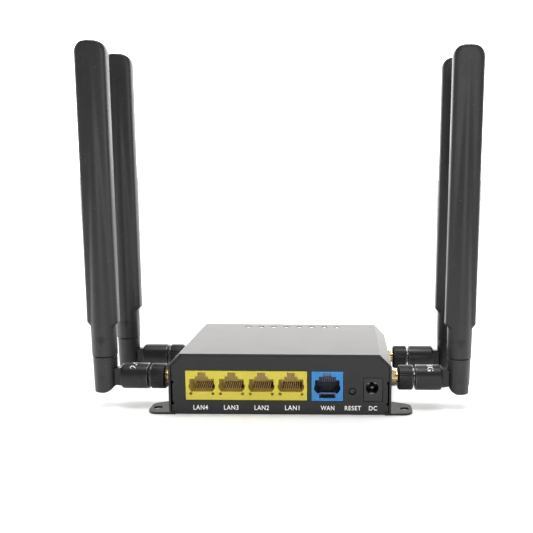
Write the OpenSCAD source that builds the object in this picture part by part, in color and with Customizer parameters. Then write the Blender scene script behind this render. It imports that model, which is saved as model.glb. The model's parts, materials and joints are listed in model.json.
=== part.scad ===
// Wireless router in a folded sheet metal case, with four swivelling antennas.
// Millimetres. The origin is the middle of the underside. The ports face -Y and +Z is up.

/* [Case] */
// outside width of the cover, side wall to side wall
case_w = 106.5; // [104:0.5:160]
// outside depth, port side to rear
case_d = 70; // [68:0.5:120]
// outside height
case_h = 29.9; // [28.5:0.1:45]
// sheet metal thickness
sheet = 1; // [0.8:0.1:1.4]
// sloped top edge, measured sideways
slope_w = 5.8; // [3:0.1:8]
// sloped top edge, measured downwards
slope_h = 5.9; // [3:0.1:6.5]
// how far the end panels sit inside the rims of the cover
panel_inset = 0.8; // [0.4:0.1:2]
// gap between the cover and what fits inside it
cover_gap = 0.3; // [0.1:0.05:0.4]

/* [Mounting ears] */
// reach of an ear beyond the side wall
ear_reach = 10.7; // [9.8:0.1:16]
// length of an ear along the side wall
ear_root = 19.5; // [18:0.5:26]
// length of an ear at its outer edge
ear_tip = 14.5; // [12:0.5:18]
// rounding of the outer corners
ear_corner_r = 4.8; // [2:0.1:5.2]
// screw hole
ear_hole_d = 4.4; // [3:0.1:5]
// hole centre from the side wall
ear_hole_out = 7; // [4:0.1:8]
// hole centre from the end of the case
ear_hole_in = 7.5; // [6:0.1:9]

/* [Ports] */
// top of the circuit board
board_top = 6.6; // [5.5:0.1:9]
// circuit board thickness
board_t = 1.6; // [1:0.1:2]
// ganged socket pitch
lan_pitch = 14.2; // [13.97:0.01:14.5]
// middle of the four-way socket block
lan_x = -16.2; // [-18:0.1:-15]
// four-way socket block width
lan_w = 58; // [57:0.1:60]
// top of both socket blocks
socket_top = 21.4; // [21:0.1:23]
// socket block depth
socket_depth = 15; // [13:0.1:17]
// plug opening width
plug_w = 11.8; // [11.7:0.1:12.2]
// middle of the single socket
wan_x = 22.5; // [21.5:0.1:24]
// single socket width
wan_w = 15.1; // [14.5:0.1:16]
// middle of the reset button
reset_x = 34.5; // [33.5:0.1:36]
// height of the reset button
reset_z = 11.6; // [10:0.1:15]
// reset access hole
reset_hole_d = 3.6; // [3:0.1:4]
// reset button stroke
reset_travel = 0.8; // [0.4:0.1:1]
// middle of the power jack
dc_x = 44.5; // [43.5:0.1:45]
// power jack width
dc_w = 8.9; // [8.6:0.1:9.4]
// top of the power jack
dc_top = 18.2; // [17:0.1:20]
// power jack bore
dc_bore_d = 6; // [5.5:0.1:6.6]
// power jack pin
dc_pin_d = 2; // [1.6:0.1:2.5]
// gap round a connector in the port panel
cutout_gap = 0.25; // [0.1:0.05:0.4]

/* [Status lights] */
// number of status lights
led_count = 8; // [4:1:10]
// spacing of the status lights
led_pitch = 7; // [5:0.1:8]
// middle of the row of lights
led_x = 1.8; // [-5:0.1:5]
// row of lights from the rear edge
led_from_rear = 7.4; // [6:0.1:12]
// light hole in the cover
led_hole_d = 3.4; // [2.5:0.1:4]

/* [Antenna connectors] */
// height of the connector axis
sma_z = 15; // [14:0.1:18]
// connector axis from the end of the case
sma_from_end = 14.5; // [13.5:0.1:17]
// connector thread
sma_thread_d = 6.35; // [6:0.05:7]
// coupling nut diameter
nut_d = 12.4; // [11.5:0.1:13]
// coupling nut start, from the side wall
nut_start = 3.7; // [3.3:0.1:4.5]
// coupling nut length
nut_l = 7.7; // [7.2:0.1:9]
// ribs round the coupling nut
nut_ribs = 36; // [12:1:40]
// swivel base diameter
base_d = 12.6; // [11.5:0.1:14]
// swivel base length
base_l = 13.4; // [12.5:0.1:16]
// gap between the coupling nut and the swivel base
base_gap = 0.9; // [0.4:0.1:1.5]
// radial gap of the nut and base on what they turn on
turn_gap = 0.08; // [0.05:0.01:0.1]

/* [Antenna arms] */
// elbow pin from the end of the swivel base
elbow_out = 8.3; // [8.3:0.1:10]
// bottom of the arm below the elbow pin
arm_drop = 7.4; // [7:0.1:8]
// arm radius at its bottom end
arm_r = 5.6; // [4.8:0.1:5.8]
// arm radius where the paddle starts
arm_top_r = 6.05; // [5.8:0.05:6.5]
// seam between knuckle and paddle, above the elbow pin
seam_up = 10.3; // [8:0.1:14]
// start of the paddle shoulders above the elbow pin
shoulder_up = 25; // [20:0.5:35]
// top of the paddle above the elbow pin
paddle_up = 159; // [120:1:200]
// paddle width
paddle_w = 15; // [14:0.1:18]
// paddle thickness
paddle_t = 7; // [6.5:0.1:9]
// paddle wall
paddle_wall = 1.8; // [1.4:0.1:2.4]
// rounding of the top corners of the paddle
paddle_corner_r = 6.2; // [3:0.1:6.8]
// elbow pin diameter
pin_d = 2.2; // [1.8:0.1:2.6]
// radial gap of the elbow pin in the tongue
pin_gap = 0.05; // [0.02:0.01:0.1]
// tongue thickness
tongue_t = 5.2; // [4:0.1:5.4]
// gap on each side of the tongue
fork_gap = 0.2; // [0.1:0.05:0.3]

/* [Hidden] */
$fn = 48;
half_w = case_w / 2;
half_d = case_d / 2;
slope_l = sqrt(slope_w * slope_w + slope_h * slope_h);
inner_half_w = half_w - sheet;
panel_t0 = sheet + cover_gap;
panel_half_w = half_w - panel_t0;
panel_y = half_d - panel_inset;
panel_back = panel_y - sheet;
socket_front = panel_y + 0.1;
socket_back = socket_front - socket_depth;
board_half_w = panel_half_w - sheet - 0.5;
board_front = panel_back - 0.6;
board_rear = panel_back - 0.6;
board_bottom = board_top - board_t;
sma_y = half_d - sma_from_end;
screw_x = board_half_w - 3.6;
screw_front_y = -6;
screw_rear_y = board_rear - 3.6;
side_screw_y = 11;
side_screw_z = 9;
flange_l = 28;
flange_h = 12;
lan_z = 7.1;
plug_floor = 11.1;
plug_h = 6.3;
groove = 0.4;
step_w = 6.3;
step_h = 1.3;
notch_w = 3.8;
notch_h = 1.95;
plug_depth = 12;
contact_pitch = 1.02;
wan_z = 6.8;
dc_z = 6.75;
dc_bore_x = dc_x - 0.5;
dc_bore_z = 13.3;
dc_depth = 11;
led_y = half_d - led_from_rear;
washer_t = 0.5;
lock_nut_t = 2.2;
thread_end = 8.3;
thread_r = sma_thread_d / 2;
core_r = 3;
collar_r = 4.4;
collar_x0 = 8.9;
collar_x1 = 10.6;
lip_x0 = 10.75;
barb_r = 4;
nut_end = nut_start + nut_l;
base_x0 = nut_end + base_gap;
base_x1 = base_x0 + base_l;
core_end = base_x0 + 9.2;
elbow_x = base_x1 + elbow_out;
tongue_end_r = 3.4;
neck_half_h = 4.6;
slot_half = tongue_t / 2 + fork_gap;
pin_half_l = arm_r - 0.4;
spigot_r = 3.8;
spigot_l = 5;
cable_r = 0.565;
cable_bend = 1.5;
jack_end = 5.4;
plug_in = jack_end + 0.2 + cable_bend;
plug_along = 8.5;

// shapes shared by several pieces

// outline of the case seen from the ports, moved in by t
module outline(t) {
  w = half_w - t;
  side = case_h - slope_h - t * (slope_l - slope_h) / slope_w;
  top = half_w - slope_w - t * (slope_l - slope_w) / slope_h;
  polygon([[-w, 0], [w, 0], [w, side], [top, case_h - t], [-top, case_h - t], [-w, side]]);
}

// a drawing in X and Z, given depth from y0 to y1
module along_y(y0, y1) {
  translate([0, y1, 0])
    rotate([90, 0, 0])
      linear_extrude(y1 - y0)
        children();
}

// a box between two corners
module block(low, high) {
  translate(low)
    cube(high - low);
}

// a round bar along Y
module rod_y(x, y0, y1, z, r) {
  translate([x, y1, z])
    rotate([90, 0, 0])
      cylinder(r = r, h = y1 - y0);
}

// a round bar along X
module rod_x(x0, x1, r) {
  translate([x0, 0, 0])
    rotate([0, 90, 0])
      cylinder(r = r, h = x1 - x0);
}

// a profile of radius against distance, turned round the X axis
module turned_x(points) {
  rotate([0, 90, 0])
    rotate_extrude()
      polygon(points);
}

// one antenna's place: x from the side wall, z from the connector axis
module at_antenna(side, end) {
  mirror([side < 0 ? 1 : 0, 0, 0])
    translate([half_w, end * sma_y, sma_z])
      children();
}

// all four antenna places
module at_each_antenna() {
  for (side = [-1, 1])
    for (end = [-1, 1])
      at_antenna(side, end)
        children();
}

// the four corners that are alike
module at_corners() {
  for (side = [0, 1])
    for (end = [0, 1])
      mirror([side, 0, 0])
        mirror([0, end, 0])
          children();
}

// screw places in the circuit board
module at_board_screws() {
  for (x = [-screw_x, screw_x])
    for (y = [screw_front_y, screw_rear_y])
      translate([x, y, 0])
        children();
}

// screw places in the two side walls, +Z pointing out
module at_side_screws() {
  for (side = [0, 1])
    for (y = [-side_screw_y, side_screw_y])
      mirror([side, 0, 0])
        translate([half_w, y, side_screw_z])
          rotate([0, 90, 0])
            children();
}

// status light places
module at_leds() {
  for (i = [0 : led_count - 1])
    translate([led_x + (i - (led_count - 1) / 2) * led_pitch, led_y, 0])
      children();
}

// the case

// one ear, from the inside of the wall, with its straight edge along y = 0
module ear_shape() {
  nx = (ear_root - ear_tip) / sqrt(pow(ear_root - ear_tip, 2) + pow(ear_reach, 2));
  ny = ear_reach / sqrt(pow(ear_root - ear_tip, 2) + pow(ear_reach, 2));
  cx = ear_reach - ear_corner_r;
  cy = ear_root - (ear_corner_r + nx * cx) / ny;
  polygon([[-3, 0], [cx, 0], [ear_reach, ear_corner_r], [ear_reach, cy],
    [cx + ear_corner_r * nx, cy + ear_corner_r * ny], [0, ear_root], [-3, ear_root]]);
  translate([cx, ear_corner_r])
    circle(ear_corner_r);
  translate([cx, cy])
    circle(ear_corner_r);
}

module port_panel() {
  difference() {
    along_y(-panel_y, -panel_back)
      outline(panel_t0);
    block([lan_x - lan_w / 2 - cutout_gap, -half_d, lan_z - cutout_gap],
      [lan_x + lan_w / 2 + cutout_gap, -panel_back + 1, socket_top + cutout_gap]);
    block([wan_x - wan_w / 2 - cutout_gap, -half_d, wan_z - cutout_gap],
      [wan_x + wan_w / 2 + cutout_gap, -panel_back + 1, socket_top + cutout_gap]);
    block([dc_x - dc_w / 2 - cutout_gap, -half_d, dc_z - cutout_gap],
      [dc_x + dc_w / 2 + cutout_gap, -panel_back + 1, dc_top + cutout_gap]);
    rod_y(reset_x, -half_d, -panel_back + 1, reset_z, reset_hole_d / 2);
    for (side = [-1, 1])
      translate([side * panel_half_w, -panel_y, 10.5]) {
        cube([0.8, 4, 10], center = true);
        for (z = [-5.2, 5.2])
          translate([0, 0, z])
            cube([2, 4, 1.2], center = true);
      }
  }
}

module rear_panel() {
  difference() {
    along_y(panel_back, panel_y)
      outline(panel_t0);
    for (i = [-7 : 7])
      translate([i * 5, panel_back - 1, 9])
        cube([2, 4, 10]);
  }
}

module base_tray() {
  color([0.2, 0.2, 0.21])
    difference() {
      union() {
        block([-panel_half_w, -panel_y, 0], [panel_half_w, panel_y, sheet]);
        port_panel();
        rear_panel();
        at_corners()
          translate([half_w, -half_d, 0])
            linear_extrude(sheet)
              ear_shape();
        for (side = [0, 1])
          mirror([side, 0, 0])
            block([panel_half_w - sheet, -flange_l / 2, 0], [panel_half_w, flange_l / 2, flange_h]);
      }
      at_corners()
        translate([half_w + ear_hole_out, -half_d + ear_hole_in, -1])
          cylinder(d = ear_hole_d, h = sheet + 2);
      at_side_screws()
        translate([0, 0, -panel_t0 - sheet - 1])
          cylinder(r = 1.25, h = sheet + 3);
    }
}

module top_cover() {
  color([0.2, 0.2, 0.21])
    difference() {
      along_y(-half_d, half_d)
        outline(0);
      translate([0, 0, -0.001])
        along_y(-half_d - 1, half_d + 1)
          outline(sheet);
      block([-inner_half_w, -half_d - 1, -1], [inner_half_w, half_d + 1, 1]);
      at_corners()
        block([inner_half_w - 1, -half_d - 1, -1], [half_w + 1, -half_d + ear_root + 0.3, sheet + 0.3]);
      at_leds()
        translate([0, 0, case_h - sheet - 1])
          cylinder(d = led_hole_d, h = sheet + 2);
      at_each_antenna()
        rod_x(-sheet - 1, 1, thread_r + 0.1);
      at_side_screws() {
        translate([0, 0, -sheet - 1])
          cylinder(r = 1.6, h = sheet + 2);
        translate([0, 0, -0.8])
          cylinder(r1 = 1.6, r2 = 2.8, h = 0.801);
      }
    }
}

module cover_screws() {
  color([0.15, 0.15, 0.16])
    at_side_screws()
      difference() {
        union() {
          translate([0, 0, -0.82])
            cylinder(r1 = 1.5, r2 = 2.65, h = 0.8);
          translate([0, 0, -5])
            cylinder(r = 1.24, h = 4.5);
        }
        translate([0, 0, -0.5])
          cube([2.6, 0.6, 1], center = true);
        translate([0, 0, -0.5])
          cube([0.6, 2.6, 1], center = true);
      }
}

module board_standoffs() {
  color([0.75, 0.76, 0.78])
    at_board_screws()
      difference() {
        translate([0, 0, sheet])
          cylinder(r = 2.7, h = board_bottom - sheet, $fn = 6);
        translate([0, 0, sheet - 1])
          cylinder(r = 1.25, h = board_bottom);
      }
}

module board_screws() {
  color([0.75, 0.76, 0.78])
    at_board_screws()
      difference() {
        union() {
          translate([0, 0, board_top])
            cylinder(r = 2.5, h = 1.8);
          translate([0, 0, sheet + 0.6])
            cylinder(r = 1.24, h = board_top - sheet - 0.6);
        }
        translate([0, 0, board_top + 1.5])
          cube([3, 0.6, 1.4], center = true);
        translate([0, 0, board_top + 1.5])
          cube([0.6, 3, 1.4], center = true);
      }
}

// the circuit board and what stands on it

module main_board() {
  color([0.05, 0.35, 0.16])
    difference() {
      block([-board_half_w, -board_front, board_bottom], [board_half_w, board_rear, board_top]);
      at_board_screws()
        cylinder(r = 1.6, h = board_top + 1);
    }
}

// right half of a plug opening, from its floor up, with a latch groove and a cut lower corner
function plug_side(low, high) = [[plug_w / 2 - 0.9, low], [plug_w / 2 + groove, low + 1.8],
  [plug_w / 2 + groove, low + 3.5], [plug_w / 2, low + 3.5], [plug_w / 2, high]];

// the same points on the other side, in turning order
function other_side(points) = [for (i = [len(points) - 1 : -1 : 0]) [-points[i][0], points[i][1]]];

// opening for one plug, drawn round its own middle
module lan_opening() {
  step_z = plug_floor + plug_h;
  notch_z = step_z + step_h;
  right = concat(plug_side(plug_floor, step_z), [[step_w / 2, step_z], [step_w / 2, notch_z],
    [notch_w / 2, notch_z], [notch_w / 2, notch_z + notch_h]]);
  polygon(concat(right, other_side(right)));
}

module at_lan_sockets() {
  for (i = [-1.5 : 1 : 1.5])
    translate([lan_x + i * lan_pitch, 0, 0])
      children();
}

module lan_jack_block() {
  color([0.86, 0.8, 0.12])
    difference() {
      union() {
        block([lan_x - lan_w / 2, -socket_front, lan_z], [lan_x + lan_w / 2, -socket_back, socket_top]);
        block([lan_x - lan_w / 2, -panel_back + 0.3, board_top],
          [lan_x + lan_w / 2, -socket_back, socket_top]);
      }
      at_lan_sockets() {
        along_y(-socket_front - 1, -socket_front + plug_depth)
          lan_opening();
        for (x = [-5.25, 5.25])
          rod_y(x, -socket_front - 1, -socket_front + 3, 10.1, 0.75);
      }
    }
}

// eight contact wires, starting at depth and rising towards the back of a socket
module contact_comb(depth, rise, length) {
  for (i = [-3.5 : 1 : 3.5])
    translate([i * contact_pitch - 0.22, -socket_front + depth, 0])
      rotate([rise, 0, 0])
        cube([0.44, length, 0.4]);
}

module lan_contacts() {
  color([0.85, 0.68, 0.3])
    at_lan_sockets()
      intersection() {
        translate([0, 0, plug_floor - 0.1])
          contact_comb(5.5, 8, 9);
        block([-6, -socket_front, plug_floor], [6, -socket_front + plug_depth, plug_floor + plug_h]);
      }
}

module wan_opening() {
  right = concat([[3.9, 8.2], [3.9, 10.6]], plug_side(10.6, 17.1), [[4.1, 17.1], [4.1, 18.8],
    [1.9, 18.8], [1.9, 20.4]]);
  polygon(concat(right, other_side(right)));
}

module wan_jack() {
  color([0.12, 0.5, 0.8])
    difference() {
      union() {
        block([wan_x - wan_w / 2, -socket_front, wan_z], [wan_x + wan_w / 2, -socket_back, socket_top]);
        block([wan_x - wan_w / 2, -panel_back + 0.3, board_top],
          [wan_x + wan_w / 2, -socket_back, socket_top]);
      }
      translate([wan_x, 0, 0])
        along_y(-socket_front - 1, -socket_front + plug_depth)
          wan_opening();
    }
}

module wan_contacts() {
  color([0.85, 0.68, 0.3])
    translate([wan_x, 0, 0])
      intersection() {
        translate([0, 0, 18.9])
          contact_comb(3, -40, 8);
        block([-5, -socket_front, 12], [5, -socket_front + plug_depth, 18.8]);
      }
}

module dc_jack() {
  color([0.06, 0.06, 0.065])
    difference() {
      union() {
        block([dc_x - dc_w / 2, -socket_front, dc_z], [dc_x + dc_w / 2, -socket_front + dc_depth, dc_top]);
        block([dc_x - dc_w / 2, -panel_back + 0.3, board_top],
          [dc_x + dc_w / 2, -socket_front + dc_depth, dc_top]);
      }
      rod_y(dc_bore_x, -socket_front - 1, -socket_front + dc_depth - 1.5, dc_bore_z, dc_bore_d / 2);
    }
}

module dc_center_pin() {
  color([0.8, 0.8, 0.8])
    rod_y(dc_bore_x, -socket_front + 1.2, -socket_front + dc_depth - 1.5, dc_bore_z, dc_pin_d / 2);
}

module reset_switch() {
  color([0.07, 0.07, 0.075])
    difference() {
      block([reset_x - 3, -panel_back + 1.2, board_top], [reset_x + 3, -panel_back + 6.2, reset_z + 3.2]);
      rod_y(reset_x, -panel_back + 1, -panel_back + 3, reset_z, 1.36);
      rod_y(reset_x, -panel_back + 2.2, -panel_back + 5.2, reset_z, 2.3);
    }
}

module reset_button() {
  color([0.1, 0.1, 0.105])
    union() {
      rod_y(reset_x, -panel_back - 0.4, -panel_back + 3.2, reset_z, 1.3);
      rod_y(reset_x, -panel_back + 2.3, -panel_back + 3.3, reset_z, 1.9);
    }
}

module processor() {
  color([0.1, 0.1, 0.1])
    block([-19, -3, board_top], [-5, 11, board_top + 1.2]);
}

module heat_sink() {
  color([0.62, 0.64, 0.67])
    union() {
      block([-23, -7, board_top + 1.2], [-1, 15, board_top + 3.2]);
      for (i = [0 : 7])
        block([-23 + i * 2.971, -7, board_top + 3], [-22 + i * 2.971, 15, board_top + 10]);
    }
}

module memory_chips() {
  color([0.1, 0.1, 0.1]) {
    block([4, -2, board_top], [14, 6, board_top + 1]);
    block([4, 9, board_top], [14, 17, board_top + 1]);
    block([19, 12, board_top], [25, 17, board_top + 1.6]);
  }
}

module radio_shields() {
  color([0.78, 0.79, 0.8])
    for (x = [-41, 29])
      difference() {
        block([x, 2, board_top], [x + 12, 20, board_top + 2.6]);
        block([x + 0.3, 2.3, board_top - 1], [x + 11.7, 19.7, board_top + 2.3]);
      }
}

module ethernet_transformers() {
  color([0.12, 0.12, 0.12])
    for (x = [-38, -18, 12])
      block([x, -socket_back + 2, board_top], [x + 15, -socket_back + 9, board_top + 6]);
}

module capacitors() {
  color([0.25, 0.27, 0.32])
    for (y = [-15, -7])
      translate([37, y, board_top])
        cylinder(d = 6.3, h = 8);
}

module inductors() {
  color([0.3, 0.3, 0.3]) {
    block([20, 2, board_top], [26, 8, board_top + 3]);
    block([1, -9, board_top], [7, -4, board_top + 3]);
  }
}

module board_leds() {
  color([0.9, 0.9, 0.85])
    at_leds()
      translate([-0.8, -0.4, board_top])
        cube([1.6, 0.8, 0.8]);
}

module light_guide() {
  color([0.9, 0.92, 0.93])
    union() {
      translate([led_x, led_y, case_h - sheet - 2.2])
        cube([(led_count - 1) * led_pitch + 4, 4, 1.6], center = true);
      at_leds() {
        translate([0, 0, board_top + 1])
          cylinder(d = 2.6, h = case_h - sheet - board_top - 3.4);
        translate([0, 0, case_h - sheet - 2])
          cylinder(d = led_hole_d - 0.4, h = sheet + 1.7);
      }
      for (side = [-1, 1])
        translate([led_x + side * ((led_count - 1) * led_pitch / 2 + 4), led_y, board_top])
          cylinder(d = 2.4, h = case_h - sheet - board_top - 1.4);
      translate([led_x, led_y, case_h - sheet - 2.2])
        cube([(led_count - 1) * led_pitch + 8, 2, 1.6], center = true);
    }
}

// board sockets for the antenna cables, with the plugs on them
module coax_plugs() {
  color([0.85, 0.7, 0.35])
    at_each_pigtail()
      translate([-plug_in, plug_along, board_top - sma_z])
        cylinder(r = 1.5, h = 2.2);
}

// a pigtail's place: like an antenna's, with +Y pointing at the middle of the case
module at_each_pigtail() {
  for (side = [0, 1])
    for (end = [0, 1])
      mirror([side, 0, 0])
        mirror([0, end, 0])
          translate([half_w, -sma_y, sma_z])
            children();
}

module coax_pigtails() {
  color([0.1, 0.1, 0.1])
    at_each_pigtail() {
      rod_x(-jack_end - 0.2, -jack_end, cable_r);
      translate([-jack_end - 0.2, cable_bend, 0])
        rotate([0, 0, 180])
          rotate_extrude(angle = 90)
            translate([cable_bend, 0])
              circle(cable_r);
      rod_y(-plug_in, cable_bend, plug_along - cable_bend, 0, cable_r);
      translate([-plug_in, plug_along - cable_bend, -cable_bend])
        rotate([0, -90, 0])
          rotate_extrude(angle = 90)
            translate([cable_bend, 0])
              circle(cable_r);
      translate([-plug_in, plug_along, board_top - sma_z + 2.2])
        cylinder(r = cable_r, h = sma_z - board_top - 2.2 - cable_bend);
    }
}

// the antenna connectors

module sma_jacks() {
  color([0.86, 0.7, 0.35])
    at_each_antenna()
      difference() {
        union() {
          rod_x(-sheet, thread_end, thread_r);
          rod_x(-sheet - 1.6, -sheet, 4.2);
          rod_x(-jack_end, -sheet - 1.5, 2.25);
        }
        rod_x(2, thread_end + 1, 2.3);
        rod_x(-2, 3, 0.7);
        rod_x(-5, -1, cable_r);
      }
}

module sma_insulators() {
  color([0.95, 0.95, 0.92])
    at_each_antenna()
      difference() {
        rod_x(2, thread_end - 1.5, 2.3);
        rod_x(3, thread_end, 0.7);
      }
}

module sma_washers() {
  color([0.86, 0.7, 0.35])
    at_each_antenna()
      difference() {
        rod_x(0, washer_t, 4.4);
        rod_x(-1, washer_t + 1, thread_r + 0.05);
      }
}

module sma_lock_nuts() {
  color([0.86, 0.7, 0.35])
    at_each_antenna()
      difference() {
        translate([washer_t, 0, 0])
          rotate([0, 90, 0])
            rotate([0, 0, 20])
              cylinder(r = 4.6, h = lock_nut_t, $fn = 6);
        rod_x(0, washer_t + lock_nut_t + 1, thread_r + 0.01);
      }
}

// one antenna: x from the side wall, z from the connector axis

module nut() {
  difference() {
    turned_x([[thread_r + turn_gap, nut_start], [nut_d / 2 - 0.8, nut_start],
      [nut_d / 2, nut_start + 0.8], [nut_d / 2, nut_end - 0.8], [nut_d / 2 - 0.8, nut_end],
      [core_r + turn_gap, nut_end], [core_r + turn_gap, lip_x0], [collar_r + 0.3, lip_x0],
      [collar_r + 0.3, collar_x0 - 0.3], [thread_r + turn_gap, collar_x0 - 0.3]]);
    for (i = [0 : nut_ribs - 1])
      rotate([i * 360 / nut_ribs, 0, 0])
        translate([0, 0, nut_d / 2 + 0.16])
          rod_x(nut_start - 1, nut_end + 1, 0.34);
  }
}

module core() {
  turned_x([[0, 4.3], [0.5, 4.3], [0.5, collar_x0], [collar_r, collar_x0], [collar_r, collar_x1],
    [core_r, collar_x1], [core_r, core_end - 1.4], [barb_r, core_end - 1.4],
    [core_r, core_end], [0, core_end]]);
}

// tongue seen from the side, round the elbow pin
module tongue_shape() {
  polygon([[-elbow_out - 0.5, -neck_half_h], [-5.3, -4.2], [-3.2, -tongue_end_r], [0, -tongue_end_r],
    [0, tongue_end_r], [-3.2, tongue_end_r], [-5.3, 4.2], [-elbow_out - 0.5, neck_half_h]]);
  circle(tongue_end_r);
}

module base() {
  difference() {
    union() {
      turned_x([[0, base_x0], [base_d / 2 - 0.5, base_x0], [base_d / 2, base_x0 + 0.5],
        [base_d / 2, base_x1 - 1.2], [base_d / 2 - 0.35, base_x1 - 0.35],
        [base_d / 2 - 1.2, base_x1], [0, base_x1]]);
      translate([elbow_x, 0, 0])
        along_y(-tongue_t / 2, tongue_t / 2)
          tongue_shape();
    }
    rod_x(base_x0 - 1, core_end + 0.3, core_r + turn_gap);
    rod_x(core_end - 1.7, core_end + 0.3, barb_r + 0.3);
    rod_y(elbow_x, -tongue_t, tongue_t, 0, pin_d / 2 + pin_gap);
  }
}

module pin() {
  rod_y(elbow_x, -pin_half_l, pin_half_l, 0, pin_d / 2);
}

function arm_r_at(z) = arm_r + (z + arm_drop) * (arm_top_r - arm_r) / (shoulder_up + arm_drop + 2);

// lower end of the knuckle seen from the side, rounded more towards the case
module knuckle_shape() {
  r = arm_r - 0.1;
  translate([-8, -arm_drop + r])
    square([16, seam_up + arm_drop - r]);
  translate([0, -arm_drop + r])
    circle(r);
  translate([0, -arm_drop])
    square([r - 1.5, r]);
  translate([0, -arm_drop + 1.5])
    square([8, r - 1.5]);
  translate([r - 1.5, -arm_drop + 1.5])
    circle(1.5);
}

module knuckle() {
  translate([elbow_x, 0, 0])
    difference() {
      union() {
        intersection() {
          translate([0, 0, -arm_drop])
            cylinder(r1 = arm_r, r2 = arm_r_at(seam_up - 0.15), h = seam_up - 0.15 + arm_drop);
          along_y(-8, 8)
            knuckle_shape();
        }
        translate([0, 0, seam_up - 1])
          cylinder(r = spigot_r, h = spigot_l);
      }
      block([-8, -slot_half, -arm_drop - 1], [0, slot_half, neck_half_h + 0.2]);
      block([-8, -slot_half, -arm_drop - 1], [8, slot_half, -3]);
      block([-1, -slot_half, -4], [tongue_end_r + 0.2, slot_half, 0]);
      rod_y(0, -slot_half, slot_half, 0, tongue_end_r + 0.2);
      rod_y(0, -pin_half_l, pin_half_l, 0, pin_d / 2);
      cylinder(r = 1.2, h = seam_up + spigot_l + 1);
    }
}

module paddle_outline() {
  half = paddle_w / 2;
  polygon([[-arm_top_r + 0.5, shoulder_up], [arm_top_r - 0.5, shoulder_up], [half, shoulder_up + 2.4],
    [half, paddle_up - paddle_corner_r], [half - paddle_corner_r, paddle_up],
    [-half + paddle_corner_r, paddle_up], [-half, paddle_up - paddle_corner_r],
    [-half, shoulder_up + 2.4]]);
  for (side = [-1, 1])
    translate([side * (half - paddle_corner_r), paddle_up - paddle_corner_r])
      circle(paddle_corner_r);
}

module paddle_section() {
  r = 2.4;
  square([paddle_w, paddle_t - 2 * r], center = true);
  square([paddle_w - 2 * r, paddle_t], center = true);
  for (x = [-1, 1])
    for (y = [-1, 1])
      translate([x * (paddle_w / 2 - r), y * (paddle_t / 2 - r)])
        circle(r);
}

module paddle() {
  bottom = seam_up + 0.15;
  translate([elbow_x, 0, 0])
    difference() {
      union() {
        intersection() {
          along_y(-8, 8)
            paddle_outline();
          translate([0, 0, shoulder_up - 1])
            linear_extrude(paddle_up)
              paddle_section();
        }
        translate([0, 0, bottom])
          cylinder(r1 = arm_r_at(bottom), r2 = arm_top_r, h = shoulder_up + 2 - bottom);
        translate([0, 0, shoulder_up + 2])
          cylinder(r1 = arm_top_r, r2 = paddle_t / 2 - 0.1, h = paddle_up * 0.75);
      }
      translate([0, 0, bottom - 1])
        cylinder(r = spigot_r + 0.02, h = spigot_l + 0.2);
      cylinder(r = 1.2, h = shoulder_up + 8);
      block([-paddle_w / 2 + paddle_wall, -paddle_t / 2 + paddle_wall, shoulder_up + 6],
        [paddle_w / 2 - paddle_wall, paddle_t / 2 - paddle_wall, paddle_up - 3]);
    }
}

module radiator() {
  translate([elbow_x, 0, 0])
    union() {
      translate([0, 0, seam_up - 4])
        cylinder(r = cable_r, h = shoulder_up - seam_up + 12);
      block([-3, -0.4, shoulder_up + 6], [3, 0.4, paddle_up - 30]);
    }
}

// names for the four antennas

plastic = [0.24, 0.24, 0.25];
metal = [0.75, 0.76, 0.78];
copper = [0.8, 0.5, 0.28];

module part_of(side, end, tint) {
  color(tint)
    at_antenna(side, end)
      children();
}

module front_right_nut() part_of(1, -1, plastic) nut();
module front_right_core() part_of(1, -1, metal) core();
module front_right_base() part_of(1, -1, plastic) base();
module front_right_pin() part_of(1, -1, metal) pin();
module front_right_knuckle() part_of(1, -1, plastic) knuckle();
module front_right_paddle() part_of(1, -1, plastic) paddle();
module front_right_radiator() part_of(1, -1, copper) radiator();
module front_left_nut() part_of(-1, -1, plastic) nut();
module front_left_core() part_of(-1, -1, metal) core();
module front_left_base() part_of(-1, -1, plastic) base();
module front_left_pin() part_of(-1, -1, metal) pin();
module front_left_knuckle() part_of(-1, -1, plastic) knuckle();
module front_left_paddle() part_of(-1, -1, plastic) paddle();
module front_left_radiator() part_of(-1, -1, copper) radiator();
module rear_right_nut() part_of(1, 1, plastic) nut();
module rear_right_core() part_of(1, 1, metal) core();
module rear_right_base() part_of(1, 1, plastic) base();
module rear_right_pin() part_of(1, 1, metal) pin();
module rear_right_knuckle() part_of(1, 1, plastic) knuckle();
module rear_right_paddle() part_of(1, 1, plastic) paddle();
module rear_right_radiator() part_of(1, 1, copper) radiator();
module rear_left_nut() part_of(-1, 1, plastic) nut();
module rear_left_core() part_of(-1, 1, metal) core();
module rear_left_base() part_of(-1, 1, plastic) base();
module rear_left_pin() part_of(-1, 1, metal) pin();
module rear_left_knuckle() part_of(-1, 1, plastic) knuckle();
module rear_left_paddle() part_of(-1, 1, plastic) paddle();
module rear_left_radiator() part_of(-1, 1, copper) radiator();

base_tray();
top_cover();
cover_screws();
board_standoffs();
board_screws();
main_board();
lan_jack_block();
lan_contacts();
wan_jack();
wan_contacts();
dc_jack();
dc_center_pin();
reset_switch();
reset_button();
processor();
heat_sink();
memory_chips();
radio_shields();
ethernet_transformers();
capacitors();
inductors();
board_leds();
light_guide();
coax_plugs();
coax_pigtails();
sma_jacks();
sma_insulators();
sma_washers();
sma_lock_nuts();
front_right_nut();
front_right_core();
front_right_base();
front_right_pin();
front_right_knuckle();
front_right_paddle();
front_right_radiator();
front_left_nut();
front_left_core();
front_left_base();
front_left_pin();
front_left_knuckle();
front_left_paddle();
front_left_radiator();
rear_right_nut();
rear_right_core();
rear_right_base();
rear_right_pin();
rear_right_knuckle();
rear_right_paddle();
rear_right_radiator();
rear_left_nut();
rear_left_core();
rear_left_base();
rear_left_pin();
rear_left_knuckle();
rear_left_paddle();
rear_left_radiator();
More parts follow.
